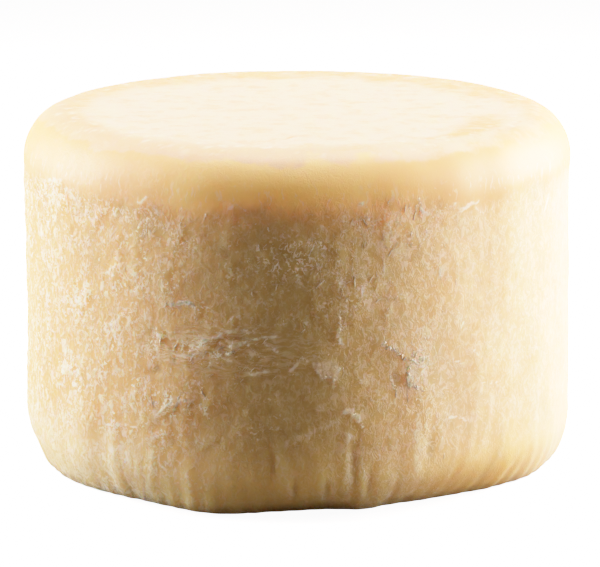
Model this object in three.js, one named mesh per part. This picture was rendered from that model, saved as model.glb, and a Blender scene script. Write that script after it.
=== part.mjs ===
// A whole drum of pale sour-milk cheese, one solid: a smooth waxy shoulder over rough, flaky sides,
// and a ribbed, lobed foot where the young cheese sagged in its mould.
// Millimetres, +Z up, origin under the middle of the drum, the front facing -Y.
// An azimuth is in degrees: 0 at the front, positive towards +X.

import * as THREE from "three";
import { ImprovedNoise } from "three/addons/math/ImprovedNoise.js";

const { clamp, degToRad, lerp, seededRandom, smoothstep } = THREE.MathUtils;

// Driving dimensions
const WHEEL_RADIUS = 75;
const WHEEL_HEIGHT = 96.7;
const TOP_RADIUS = 66.8;
const FOOT_RADIUS = 67.3;

// The turned profile
const SHOULDER_BASE = 86; // height where the shoulder starts to turn over
const SHOULDER_PROUD = 0.3; // how far the smooth shoulder stands outside the wheel's radius
const SHOULDER_POWER = 1.45; // 1 is a straight chamfer, 2 a round corner
const NECK_DROP = 3.6; // height of the step from the shoulder down to the rough side
const NECK_INSET = 0.3;
const FOOT_CORNER = 11; // height of the corner between foot and side
const FOOT_POWER = 1.3;
const FOOT_EDGE = 1; // width of the small round where the foot lifts off what it stands on
const SIDE_STEP = 4.8; // height between the rows of the rough side
const CORNER_STEPS = 4;

// The flat top: rings at shares of its radius, and the crease that the press plate's edge left
const TOP_RINGS = [0.62, 0.3];
const CREASE_WIDTH = 2.6;
const CREASE_DEPTH = 0.7;

// The foot's outline: wider to the right, a little oval and askew, with lobes that sagged out
const FOOT_SWAY = 1.6;
const FOOT_OVAL = -2.6;
const FOOT_SKEW = -3.2;
const FOOT_LOBES = [
  { azimuth: -18, spread: 11, reach: 5.4 },
  { azimuth: 15, spread: 5, reach: 2.2 },
  { azimuth: -62, spread: 14, reach: 1.2 },
  { azimuth: 60, spread: 14, reach: 2 },
  { azimuth: 112, spread: 13, reach: 3.4 },
  { azimuth: -128, spread: 10, reach: 3.2 },
  { azimuth: 172, spread: 16, reach: 4.4 },
];

// Upright ribs that the mould's wall left above the foot, one ridge and one groove each
const RIB_COUNT = 80;
const RIB_DEPTH = 1.3;
const RIB_STRENGTH = [0.2, 1]; // share of the full depth, from rib to rib
const RIB_SHIFT = [-0.2, 0.2]; // how far a rib stands off its even place, in columns
const RIB_AT_FLOOR = 0.5; // share of the depth left where the foot stands
const RIB_FULL = [4, 13]; // heights between which a rib has its whole depth
const RIB_TOP = 36;
const COLUMNS = 2 * RIB_COUNT;

// Unevenness of the wall and of the top
const SWELL = { size: 46, height: 0.5 };
const ROUGH = { size: 9, height: 0.55, stretch: 1.7 };
const TOP_SWELL = { size: 30, height: 0.45 };

// Crags that stand out of the front: centre, length along the crag, width across it,
// lean of its long axis from upright towards +X, and rise
const FRONT_CRAGS = [
  { azimuth: 8, height: 53, length: 13, width: 3, lean: 0, rise: 1 },
  { azimuth: 6.5, height: 41, length: 11, width: 6, lean: -30, rise: 1.3 },
  { azimuth: 21, height: 42, length: 14, width: 3.5, lean: -53, rise: 1.5 },
  { azimuth: 25.5, height: 33, length: 9, width: 3.5, lean: -10, rise: 1.3 },
  { azimuth: 11.5, height: 27, length: 8, width: 4, lean: -45, rise: 1.1 },
  { azimuth: 23.5, height: 16, length: 19, width: 3, lean: 0, rise: 1.1 },
  { azimuth: 31, height: 81, length: 12, width: 3, lean: 78, rise: 1 },
  { azimuth: 18, height: 81, length: 7, width: 3, lean: -20, rise: 0.8 },
  { azimuth: -58, height: 77, length: 13, width: 6, lean: -35, rise: 0.9 },
  { azimuth: -12, height: 43.5, length: 44, width: 4, lean: 84, rise: 0.8 },
  { azimuth: -25, height: 30, length: 12, width: 4, lean: 65, rise: 0.8 },
  { azimuth: 1, height: 68, length: 15, width: 5, lean: -42, rise: 0.9 },
];

// Crags like them on the sides and back, drawn from a seed
const DRAW_SEED = 71;
const DRAWN_CRAGS = 44;
const FRONT_EDGE = 38; // azimuth past which the drawn crags start
const DRAWN = {
  height: [16, 82],
  length: [6, 15],
  width: [2.6, 4.6],
  lean: [-55, 55],
  rise: [0.5, 1.4],
};

const noise = new ImprovedNoise();

function draw([low, high]) {
  return lerp(low, high, seededRandom());
}

function drawCrag() {
  return {
    azimuth: draw([FRONT_EDGE, 360 - FRONT_EDGE]),
    height: draw(DRAWN.height),
    length: draw(DRAWN.length),
    width: draw(DRAWN.width),
    lean: draw(DRAWN.lean),
    rise: draw(DRAWN.rise),
  };
}

function drawRib() {
  return { strength: draw(RIB_STRENGTH), shift: draw(RIB_SHIFT) };
}

seededRandom(DRAW_SEED);
const CRAGS = [...FRONT_CRAGS, ...Array.from({ length: DRAWN_CRAGS }, drawCrag)];
const RIBS = Array.from({ length: RIB_COUNT }, drawRib);

// The shorter way round from one azimuth to another, in degrees.
function turnBetween(from, to) {
  return ((((to - from + 180) % 360) + 360) % 360) - 180;
}

// A bell of height 1 that falls to about a third at its spread.
function bell(distance, spread) {
  return Math.exp(-((distance / spread) ** 2));
}

// The rows of a corner that starts outwards ("radius" leads) or upwards ("height" leads).
// Power 1 is a straight line, power 2 a quarter of an ellipse.
function cornerRows(from, to, power, lead, zone) {
  return Array.from({ length: CORNER_STEPS }, (_, step) => {
    const turn = ((step + 1) / CORNER_STEPS) * (Math.PI / 2);
    const early = Math.sin(turn) ** (2 / power);
    const late = 1 - Math.cos(turn) ** (2 / power);
    const [outwards, upwards] = lead === "radius" ? [early, late] : [late, early];
    return {
      radius: lerp(from.radius, to.radius, outwards),
      height: lerp(from.height, to.height, upwards),
      zone,
    };
  });
}

// The profile's rows, from the middle of the underside to the middle of the top.
function wheelRows() {
  const foot = { radius: FOOT_RADIUS, height: FOOT_EDGE / 2, zone: "foot" };
  const side = { radius: WHEEL_RADIUS, height: FOOT_CORNER };
  const neck = { radius: WHEEL_RADIUS - NECK_INSET, height: SHOULDER_BASE - NECK_DROP };
  const shoulder = { radius: WHEEL_RADIUS + SHOULDER_PROUD, height: SHOULDER_BASE, zone: "shoulder" };
  const rim = { radius: TOP_RADIUS, height: WHEEL_HEIGHT };
  const steps = Math.round((neck.height - side.height) / SIDE_STEP);
  const sideRows = Array.from({ length: steps }, (_, step) => ({
    radius: lerp(side.radius, neck.radius, (step + 1) / steps),
    height: lerp(side.height, neck.height, (step + 1) / steps),
    zone: "side",
  }));
  const topRadii = [
    TOP_RADIUS - CREASE_WIDTH / 2,
    TOP_RADIUS - CREASE_WIDTH,
    ...TOP_RINGS.map((share) => share * TOP_RADIUS),
    0,
  ];
  return [
    { radius: 0, height: 0, zone: "underside" },
    { radius: FOOT_RADIUS - FOOT_EDGE, height: 0, zone: "foot" },
    foot,
    ...cornerRows(foot, side, FOOT_POWER, "radius", "foot"),
    ...sideRows,
    shoulder,
    ...cornerRows(shoulder, rim, SHOULDER_POWER, "height", "shoulder"),
    ...topRadii.map((radius) => ({ radius, height: WHEEL_HEIGHT, zone: "top" })),
  ];
}

// How far the foot's outline at an azimuth lies outside its mean radius.
function footReach(azimuth) {
  const turn = degToRad(azimuth);
  const oval = FOOT_OVAL * Math.cos(2 * turn) + FOOT_SKEW * Math.sin(2 * turn);
  const lobes = FOOT_LOBES.map((lobe) => lobe.reach * bell(turnBetween(azimuth, lobe.azimuth), lobe.spread));
  return lobes.reduce((sum, reach) => sum + reach, FOOT_SWAY * Math.sin(turn) + oval);
}

// The ridge or groove of one column above the foot. Columns are ridges and grooves in turn.
function ribRelief(column, height) {
  const sign = column % 2 === 0 ? 1 : -1;
  const rise = lerp(RIB_AT_FLOOR, 1, smoothstep(height, 0, RIB_FULL[0]));
  const fade = 1 - smoothstep(height, RIB_FULL[1], RIB_TOP);
  return sign * (RIB_DEPTH / 2) * RIBS[column >> 1].strength * rise * fade;
}

function cragRelief(azimuth, height) {
  let relief = 0;
  for (const crag of CRAGS) {
    const across = degToRad(turnBetween(crag.azimuth, azimuth)) * WHEEL_RADIUS;
    const up = height - crag.height;
    const lean = degToRad(crag.lean);
    const along = across * Math.sin(lean) + up * Math.cos(lean);
    const beside = across * Math.cos(lean) - up * Math.sin(lean);
    relief += crag.rise * bell(along, crag.length / 2) * bell(beside, crag.width / 2);
  }
  return relief;
}

// Swells and roughness of the wall at a point of the even wheel.
function wallNoise(x, y, height) {
  const swell = noise.noise(x / SWELL.size, y / SWELL.size, height / SWELL.size);
  const rough = noise.noise(x / ROUGH.size, y / ROUGH.size, height / ROUGH.size / ROUGH.stretch);
  return SWELL.height * swell + ROUGH.height * rough;
}

// Height of the top's own unevenness: low swells, and the press plate's crease, which comes and goes.
function topRelief(x, y, radius) {
  const swell = noise.noise(x / TOP_SWELL.size, y / TOP_SWELL.size, 0);
  const press = clamp(0.5 + noise.noise(x / TOP_SWELL.size, y / TOP_SWELL.size, TOP_SWELL.size), 0, 1);
  const onCrease = bell(radius - (TOP_RADIUS - CREASE_WIDTH / 2), CREASE_WIDTH / 4);
  return TOP_SWELL.height * swell - CREASE_DEPTH * onCrease * press;
}

// How far a row of the foot, side or shoulder stands from the axis in one column.
function wallRadius({ radius, height, zone }, column, azimuth) {
  const turn = degToRad(azimuth);
  const uneven = wallNoise(WHEEL_RADIUS * Math.sin(turn), -WHEEL_RADIUS * Math.cos(turn), height);
  if (zone === "shoulder") {
    return radius + uneven;
  }
  const onFoot = clamp((WHEEL_RADIUS - radius) / (WHEEL_RADIUS - FOOT_RADIUS), 0, 1);
  const sag = zone === "foot" ? footReach(azimuth) * onFoot : 0;
  return radius + uneven + sag + ribRelief(column, height) + cragRelief(azimuth, height);
}

// The turned wheel, with every point then moved to its place on the uneven cheese.
function wheelGeometry() {
  const rows = wheelRows();
  const profile = rows.map(({ radius, height }) => new THREE.Vector2(radius, height));
  const geometry = new THREE.LatheGeometry(profile, COLUMNS).rotateX(Math.PI / 2);
  const position = geometry.getAttribute("position");
  for (let index = 0; index < position.count; index++) {
    const row = rows[index % rows.length];
    const column = Math.floor(index / rows.length) % COLUMNS;
    const azimuth = ((column + RIBS[column >> 1].shift) / COLUMNS) * 360;
    const onWall = row.radius > 0 && row.zone !== "top";
    const radius = onWall ? wallRadius(row, column, azimuth) : row.radius;
    const x = radius * Math.sin(degToRad(azimuth));
    const y = -radius * Math.cos(degToRad(azimuth));
    const lift = row.zone === "top" ? topRelief(x, y, radius) : 0;
    position.setXYZ(index, x, y, row.height + lift);
  }
  geometry.computeBoundingBox();
  const middle = geometry.boundingBox.getCenter(new THREE.Vector3());
  return geometry.translate(-middle.x, -middle.y, 0);
}

const rind = new THREE.MeshStandardMaterial({ color: 0xe9cf9c, roughness: 0.55, metalness: 0 });
const wheel = new THREE.Mesh(wheelGeometry(), rind);
wheel.name = "cheese_wheel";

const cheese = new THREE.Group();
cheese.add(wheel);

export default cheese;
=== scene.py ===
# %% [markdown]
# # A drum of pale sour-milk cheese
# One whole cheese, about 150 mm across. Its shoulder is smooth and waxy, its side is rough with
# frayed curd, and its foot keeps the ribs of the mould. The solid wheel comes from the frame, and
# this file lays the fine rind over it: first the camera and the light, then the shape of the
# rind, then what frays out of it, and last the finishes.

# %% Load the frame
import math
import random

import bmesh
import bpy
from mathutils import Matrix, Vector


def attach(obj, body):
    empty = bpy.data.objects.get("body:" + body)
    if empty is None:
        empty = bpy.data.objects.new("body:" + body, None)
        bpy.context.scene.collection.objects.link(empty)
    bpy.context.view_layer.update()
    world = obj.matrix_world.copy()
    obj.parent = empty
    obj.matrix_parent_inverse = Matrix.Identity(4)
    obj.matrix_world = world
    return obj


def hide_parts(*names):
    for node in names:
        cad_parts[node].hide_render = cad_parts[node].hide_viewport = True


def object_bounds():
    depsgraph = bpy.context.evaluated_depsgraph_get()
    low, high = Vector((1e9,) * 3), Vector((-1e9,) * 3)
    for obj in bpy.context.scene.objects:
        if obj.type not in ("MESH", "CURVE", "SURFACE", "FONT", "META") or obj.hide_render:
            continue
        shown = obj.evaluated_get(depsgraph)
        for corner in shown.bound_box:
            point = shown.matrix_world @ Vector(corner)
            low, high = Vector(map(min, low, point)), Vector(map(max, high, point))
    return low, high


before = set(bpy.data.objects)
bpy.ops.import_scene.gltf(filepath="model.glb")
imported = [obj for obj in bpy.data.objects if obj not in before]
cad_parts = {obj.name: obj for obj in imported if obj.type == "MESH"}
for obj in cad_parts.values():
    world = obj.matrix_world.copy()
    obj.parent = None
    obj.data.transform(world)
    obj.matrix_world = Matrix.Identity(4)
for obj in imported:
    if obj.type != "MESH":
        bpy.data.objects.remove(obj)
cad_low, cad_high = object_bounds()
WHEEL_RADIUS = (cad_high[0] - cad_low[0]) / 2
WHEEL_HEIGHT = cad_high[2]
MM = 0.001
scene = bpy.context.scene
print(f"wheel: {2 * WHEEL_RADIUS / MM:.1f} mm across, {WHEEL_HEIGHT / MM:.1f} mm high")

# %% [markdown]
# ## Writing node trees as sums
# A finish or a relief is a formula: so much of this noise, where that mask lets it through. Node
# trees can be wired socket by socket, but a formula is easier to read as arithmetic. The class
# below wraps one socket. A plus sign between two of them adds a Math node, or a Vector Math node
# where one side is a vector, and `node` adds any other kind. It serves materials and geometry
# alike, because both kinds of tree share these nodes.

# %% A socket that takes part in sums
class Wire:
    def __init__(self, tree, socket=None):
        self.tree = tree
        self.socket = socket

    @staticmethod
    def pick(sockets, key):
        usable = [socket for socket in sockets if socket.enabled]
        if isinstance(key, int):
            return usable[key]
        return next(socket for socket in usable if socket.name == key)

    def node(self, kind, settings=None, sockets=None, outputs=0):
        made = self.tree.nodes.new(kind)
        for name, value in (settings or {}).items():
            setattr(made, name, value)
        for key, value in (sockets or {}).items():
            if isinstance(value, Wire):
                self.tree.links.new(value.socket, self.pick(made.inputs, key))
            else:
                self.pick(made.inputs, key).default_value = value
        if not made.outputs:
            return None
        if isinstance(outputs, tuple):
            return [Wire(self.tree, self.pick(made.outputs, key)) for key in outputs]
        return Wire(self.tree, self.pick(made.outputs, outputs))

    def is_vector(self):
        return self.socket.type in {"VECTOR", "RGBA"}

    def calc(self, operation, *values):
        vector = any(isinstance(v, tuple) or isinstance(v, Wire) and v.is_vector() for v in values)
        if not vector:
            return self.node("ShaderNodeMath", {"operation": operation}, dict(enumerate(values)))
        spread = [(v, v, v) if isinstance(v, (int, float)) else v for v in values]
        return self.node("ShaderNodeVectorMath", {"operation": operation}, dict(enumerate(spread)))

    def __add__(self, other):
        return self.calc("ADD", self, other)

    def __sub__(self, other):
        return self.calc("SUBTRACT", self, other)

    def __rsub__(self, other):
        return self.calc("SUBTRACT", other, self)

    def __mul__(self, other):
        return self.calc("MULTIPLY", self, other)

    def __truediv__(self, other):
        return self.calc("DIVIDE", self, other)

    def __pow__(self, other):
        return self.calc("POWER", self, other)

    __radd__ = __add__
    __rmul__ = __mul__

    def span(self, low, high, curve="LINEAR"):
        """0 at low, 1 at high, a straight or soft line between them, and level beyond."""
        return self.node(
            "ShaderNodeMapRange",
            {"interpolation_type": curve},
            {"Value": self, "From Min": low, "From Max": high},
        )

    def smooth(self, low, high):
        return self.span(low, high, "SMOOTHSTEP")

    def bell(self, middle, spread):
        """1 at the middle, about a third at the spread."""
        away = (self - middle) / spread
        return self.calc("EXPONENT", away * away * -1.0)

    def noise(self, size, detail=2.0, roughness=0.5, distortion=0.0, output=0):
        """Noise from 0 to 1 whose grains have that size: a number, or one for each axis."""
        x, y, z = size if isinstance(size, tuple) else (size, size, size)
        sockets = {"Vector": self * (1 / x, 1 / y, 1 / z), "Scale": 1.0, "Detail": detail}
        sockets["Roughness"] = roughness
        sockets["Distortion"] = distortion
        return self.node("ShaderNodeTexNoise", {}, sockets, output)

    def ridges(self, size, detail=2.0, roughness=0.5, distortion=0.0):
        """Noise folded at its middle, so that it runs in thin ridges of height 1."""
        folded = self.noise(size, detail, roughness, distortion) * 2.0 - 1.0
        return 1.0 - self.calc("ABSOLUTE", folded)

    def swirl(self, size, reach):
        """A place pushed about by up to that reach, so that straight grain bends."""
        push = self.noise(size, 1.0, output=1) - 0.5
        return self + push * (2.0 * reach)

    def xyz(self):
        return self.node("ShaderNodeSeparateXYZ", {}, {0: self}, ("X", "Y", "Z"))

    def join(self, x, y, z):
        """A vector of three values, each a number or a wire."""
        return self.node("ShaderNodeCombineXYZ", {}, {"X": x, "Y": y, "Z": z})


print("sums of sockets are ready")

# %% [markdown]
# ## Camera and film
# The photograph looks slightly down on the wheel through a long lens, so the camera stands a metre
# away and about twelve degrees up. It aims a little off the wheel's middle, which puts the wheel
# where the photograph has it and needs no lens shift. Film and sensors let bright light run softly
# into white. A curve of that kind, the same for each colour, gives lit curd its ivory and leaves
# shade its gold.

# %% Aim the camera and set the film curve
CAMERA_DISTANCE = 1.0
CAMERA_ELEVATION = math.radians(12.3)
LENS_MM = 216.5
AIM = Vector((0.00067, 0.0, 0.04714))
FILM_WHITE = 4.0
FILM_STEPS = 12

camera = bpy.data.objects.new("camera", bpy.data.cameras.new("camera"))
scene.collection.objects.link(camera)
scene.camera = camera
camera.data.lens = LENS_MM
towards_camera = Vector((0, -math.cos(CAMERA_ELEVATION), math.sin(CAMERA_ELEVATION)))
camera.location = AIM + towards_camera * CAMERA_DISTANCE
camera.rotation_euler = (-towards_camera).to_track_quat("-Z", "Y").to_euler()

scene.view_settings.view_transform = "Standard"
scene.view_settings.use_curve_mapping = True
film = scene.view_settings.curve_mapping
film.white_level = (FILM_WHITE,) * 3
film.extend = "HORIZONTAL"
response = film.curves[3].points
for step in range(1, FILM_STEPS):
    share = (step / FILM_STEPS) ** 2
    response.new(share, 1 - math.exp(-share * FILM_WHITE))
response[len(response) - 1].location = (1, 1)
film.update()
print(f"camera {CAMERA_DISTANCE} m away, film curve of {len(response)} points")

# %% [markdown]
# ## Light and floor
# Two soft boxes stand at the wheel's sides, a little behind it, so the front falls into warm shade
# while both flanks glow. The right one is wide, because a narrow one would rake over every crag
# where its light ends. A third hangs overhead and whitens the top. The floor is pale, but gives
# little light back, or the foot would be lit from below. The Light Path node makes that choice in
# the room and the floor, which are the stage and not the cheese.

# %% Place the soft boxes
BOX_COLOUR = (1.0, 0.955, 0.95)
SOFT_BOXES = {
    "left": {"azimuth": -101, "elevation": 14, "distance": 0.6, "size": (0.4, 0.5), "watts": 15.2},
    "right": {"azimuth": 102, "elevation": 14, "distance": 0.6, "size": (0.66, 0.5), "watts": 23.6},
    "overhead": {"azimuth": 180, "elevation": 80, "distance": 0.7, "size": (0.6, 0.4), "watts": 10.6},
}


def soft_box(name, azimuth, elevation, distance, size, watts):
    data = bpy.data.lights.new(name + " soft box", "AREA")
    data.shape = "RECTANGLE"
    data.size, data.size_y = size
    data.energy = watts
    data.color = BOX_COLOUR
    box = bpy.data.objects.new(data.name, data)
    scene.collection.objects.link(box)
    turn = math.radians(azimuth)
    lift = math.radians(elevation)
    level = math.cos(lift)
    away = Vector((math.sin(turn) * level, -math.cos(turn) * level, math.sin(lift)))
    box.location = Vector((0, 0, WHEEL_HEIGHT / 2)) + away * distance
    box.rotation_euler = away.to_track_quat("Z", "Y").to_euler()


for name, facts in SOFT_BOXES.items():
    soft_box(name, **facts)
print("soft boxes:", ", ".join(SOFT_BOXES))

# %% Light the room and lay the floor
ROOM_COLOUR = (1.0, 0.82, 0.55, 1)
ROOM_STRENGTH = 0.17
BACKDROP_STRENGTH = 6.0
FLOOR_SIZE = 8.0
FLOOR_GLOW = 3.0
FLOOR_PALE = (0.8, 0.8, 0.8, 1)
FLOOR_BOUNCE = (0.22, 0.2, 0.17, 1)
WHITE = (1, 1, 1, 1)

scene.world = bpy.data.worlds.new("studio")
scene.world.use_nodes = True
scene.world.node_tree.nodes.clear()
room = Wire(scene.world.node_tree)
seen = room.node("ShaderNodeLightPath", outputs="Is Camera Ray")
fill = room.node("ShaderNodeBackground", {}, {"Color": ROOM_COLOUR, "Strength": ROOM_STRENGTH})
backdrop = room.node("ShaderNodeBackground", {}, {"Color": WHITE, "Strength": BACKDROP_STRENGTH})
sky = room.node("ShaderNodeMixShader", {}, {0: seen, 1: fill, 2: backdrop})
room.node("ShaderNodeOutputWorld", {}, {"Surface": sky})

floor_finish = bpy.data.materials.new("pale floor")
floor_finish.use_nodes = True
floor_finish.node_tree.nodes.clear()
slab = Wire(floor_finish.node_tree)
seen = slab.node("ShaderNodeLightPath", outputs="Is Camera Ray")
bounce = slab.node("ShaderNodeBsdfDiffuse", {}, {"Color": FLOOR_BOUNCE})
pale = slab.node("ShaderNodeBsdfDiffuse", {}, {"Color": FLOOR_PALE})
glow = slab.node("ShaderNodeEmission", {}, {"Color": WHITE, "Strength": FLOOR_GLOW})
lit = slab.node("ShaderNodeAddShader", {}, {0: pale, 1: glow})
top = slab.node("ShaderNodeMixShader", {}, {0: seen, 1: bounce, 2: lit})
slab.node("ShaderNodeOutputMaterial", {}, {"Surface": top})

half = FLOOR_SIZE / 2
corners = [(-half, -half, 0), (half, -half, 0), (half, half, 0), (-half, half, 0)]
floor_mesh = bpy.data.meshes.new("floor")
floor_mesh.from_pydata(corners, [], [(0, 1, 2, 3)])
floor = bpy.data.objects.new("floor", floor_mesh)
floor_mesh.materials.append(floor_finish)
scene.collection.objects.link(floor)
print(f"floor {FLOOR_SIZE} m square")

# %% [markdown]
# ## Running a tree on a mesh
# Every piece of the cheese follows the wheel's surface, so Geometry Nodes make them all. Two short
# helpers start a tree with named inputs, and run it on a mesh. A modifier could stay on the
# piece, but a plain mesh is what the next tool wants, so the result is copied off and the
# modifier goes.

# %% Start a tree, and run one
SOCKET_KINDS = {
    float: "NodeSocketFloat",
    int: "NodeSocketInt",
    bpy.types.Material: "NodeSocketMaterial",
    bpy.types.Object: "NodeSocketObject",
}


def geometry_tree(name, inputs):
    tree = bpy.data.node_groups.new(name, "GeometryNodeTree")
    tree.interface.new_socket("Geometry", in_out="INPUT", socket_type="NodeSocketGeometry")
    for label, value in inputs.items():
        tree.interface.new_socket(label, in_out="INPUT", socket_type=SOCKET_KINDS[type(value)])
    tree.interface.new_socket("Geometry", in_out="OUTPUT", socket_type="NodeSocketGeometry")
    entry = tree.nodes.new("NodeGroupInput")
    return {socket.name: Wire(tree, socket) for socket in entry.outputs if socket.name}


def run_tree(name, given, mesh, inputs):
    carrier = bpy.data.objects.new(name + " carrier", mesh)
    scene.collection.objects.link(carrier)
    modifier = carrier.modifiers.new(name, "NODES")
    modifier.node_group = given["Geometry"].tree
    for item in modifier.node_group.interface.items_tree:
        if item.in_out == "INPUT" and item.name in inputs:
            modifier[item.identifier] = inputs[item.name]
    evaluated = carrier.evaluated_get(bpy.context.evaluated_depsgraph_get())
    piece = bpy.data.objects.new(name, bpy.data.meshes.new_from_object(evaluated))
    scene.collection.objects.link(piece)
    carrier.modifiers.remove(modifier)
    bpy.data.objects.remove(carrier)
    piece.data.calc_loop_triangles()
    print(f"{name}: {len(piece.data.vertices)} vertices, {len(piece.data.loop_triangles)} triangles")
    return piece


def end_tree(given, geometry, finish):
    real = given["Geometry"].node("GeometryNodeRealizeInstances", {}, {"Geometry": geometry})
    soft = real.node("GeometryNodeSetShadeSmooth", {}, {"Geometry": real, "Shade Smooth": True})
    done = soft.node("GeometryNodeSetMaterial", {}, {"Geometry": soft, "Material": finish})
    done.node("NodeGroupOutput", {}, {"Geometry": done})


print("trees take inputs of", len(SOCKET_KINDS), "kinds")

# %% [markdown]
# ## The wheel under the rind
# The solid of the frame is the cheese's true shape, in facets a few millimetres wide. Its mesh is
# loose triangles, so a copy is merged before anything is laid over it.

# %% Copy the wheel and merge it
MERGE_REACH = 1e-6

wheel_mesh = bpy.data.objects["cheese_wheel"].data.copy()
merge = bmesh.new()
merge.from_mesh(wheel_mesh)
bmesh.ops.remove_doubles(merge, verts=merge.verts, dist=MERGE_REACH)
merge.to_mesh(wheel_mesh)
merge.free()
wheel = bpy.data.objects.new("wheel copy", wheel_mesh)
scene.collection.objects.link(wheel)
print(f"wheel copy: {len(wheel_mesh.vertices)} vertices, {len(wheel_mesh.polygons)} faces")

# %% [markdown]
# ## Where the curd changes
# Below the waxy shoulder the curd is torn and frays. The foot is pressed smooth between its ribs. On
# one stretch of the front the curd was dragged sideways into strands, the right of the front is
# calmer, and chalky white patches gather here and there. Plates of curd have lifted beside small
# hollows, and the top has an amber rim and stains. A place on the side is given by its turn from
# the front in degrees, its height in millimetres, and how far it spreads both ways. A stain of the
# top has its distance from the axis in place of a height.

# %% List the places on the side and the stains of the top
PLACES = {
    "strands": [(-13, 45, 20, 8.5)],
    "fringe": [(-26, 79, 18, 4.5), (28, 79.5, 14, 3.5)],
    "plates": [
        (5.6, 41.3, 2.3, 2.4),
        (7.3, 38.6, 0.7, 1.5),
        (10.1, 29.4, 1.2, 1.0),
        (11.8, 27.5, 0.9, 1.3),
        (4.4, 30.6, 1.3, 1.2),
        (23.6, 38.6, 1.6, 4.6),
    ],
    # hollows sink the rind and are painted dark as shade; the low ones on the foot are lines of painted
    # shade beside its pleats
    "hollows": [
        (19.8, 37.6, 1.1, 2.2),
        (-29.6, 38.4, 1.6, 1.4),
        (-11.4, 48.9, 2.2, 0.7),
        (11.4, 15.0, 1.2, 8.0),
        (-4.9, 14.5, 0.55, 4.5),
        (-0.4, 8.0, 0.5, 4.0),
        (6.1, 8.5, 0.45, 3.0),
        (14.6, 10.0, 0.6, 5.0),
        (27.4, 18.0, 1.4, 4.5),
    ],
    "patches": [
        (-62, 79, 9, 4),
        (-60, 80, 7, 3),
        (-49, 55, 3, 6),
        (-41, 47, 3, 3),
        (-54, 34, 5, 3),
        (-26, 30, 7, 3),
        (-20, 45, 9, 3),
        (0, 69, 8, 6),
        (11, 61, 4, 5),
        (23, 39, 4, 6),
        (33, 81, 8, 3),
        (18, 77, 5, 6),
        (64, 77, 5, 4),
        (118, 60, 14, 9),
        (152, 74, 10, 6),
        (-165, 48, 12, 8),
        (-128, 70, 12, 7),
        (-104, 38, 9, 8),
    ],
}
TOP_STAINS = [
    (66, 55, 15, 6),
    (40, 61, 9, 3),
    (52, 60, 10, 4),
    (100, 60, 14, 5),
    (-62, 63, 14, 4),
    (-88, 63, 18, 5),
    (-115, 60, 18, 6),
    (142, 62, 16, 4),
    (-150, 63, 14, 4),
    (178, 66, 12, 4),
    (-178, 66, 12, 4),
]
print("places:", {name: len(places) for name, places in PLACES.items()}, "stains:", len(TOP_STAINS))

# %% [markdown]
# ## One set of masks
# Shape, scatter and colour all have to agree on these places, so one function makes the masks for
# every tree, from a point in millimetres. A mask is 1 in its place and fades to 0 around it. It
# could be painted by hand, but a formula can be read and changed. Pairs of numbers below are where
# a mask starts and where it is full, or the middle and the spread of a bell.

# %% Masks by height and by turn from the front
DEGREE = math.pi / 180
SHOULDER_EDGE = (80.0, 85.0)
SHOULDER_WAVES = ((15.0, 1.0, 8.0), (3.5, 2.0, 5.0))
FOOT_EDGE = (6.0, 26.0)
# painted shade: the front below the shoulder is coloured darker, and the mask of dry, lit curd is measured
# from its darkest turn
FRONT_SHADE_TURN = (-2.0, 20.0)
FRONT_SHADE_TOP = (70.0, 86.0)
SHADIEST_TURN = -4.0
DRY_AND_LIT_AWAY = (4.0, 40.0)
FLANKS_START = (24.0, 42.0)
FLANKS_END = (130.0, 145.0)
# painted light: a bell just right of the front, where the right soft box begins to reach
PAINTED_LIGHT_TURN = (22.0, 13.0)
SIDES = {
    "calm": ((2.0, 38.0), (90.0, 130.0)),
    "far": ((46.0, 74.0), (100.0, 130.0)),
}
SPOTS = {
    "clumps": (7.0, 3.0, 0.65, (0.42, 0.64)),
    "drifts": (5.0, 2.0, 0.6, (0.36, 0.64)),
    "stain": (11.0, 3.0, 0.6, (0.45, 0.7)),
    "chips": (4.0, 3.0, 0.65, (0.56, 0.64)),
}
PLATE_GRAIN = 1.8
PLATE_BREAK = 1.4
PLATE_EDGE = (0.3, 0.65)
PLATE_REACH = (0.03, 0.2)
RIM_EDGE = (53.0, 65.0)
RIM_GRAIN = 16.0
RIM_SWING = 36.0
RIM_TILT = (0.03, 0.2)
LIP_EDGE = (58.0, 67.0)
CHIPS_RING = (63.0, 6.0)
TOP_EDGE = (93.0, 96.0)
SAG_GRAIN = 10.0


def bells(turn, height, places):
    """1 at each listed place, falling off over its two spreads."""
    total = 0.0
    for turn_at, height_at, turn_spread, height_spread in places:
        total = turn.bell(turn_at, turn_spread) * height.bell(height_at, height_spread) + total
    return total


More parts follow.
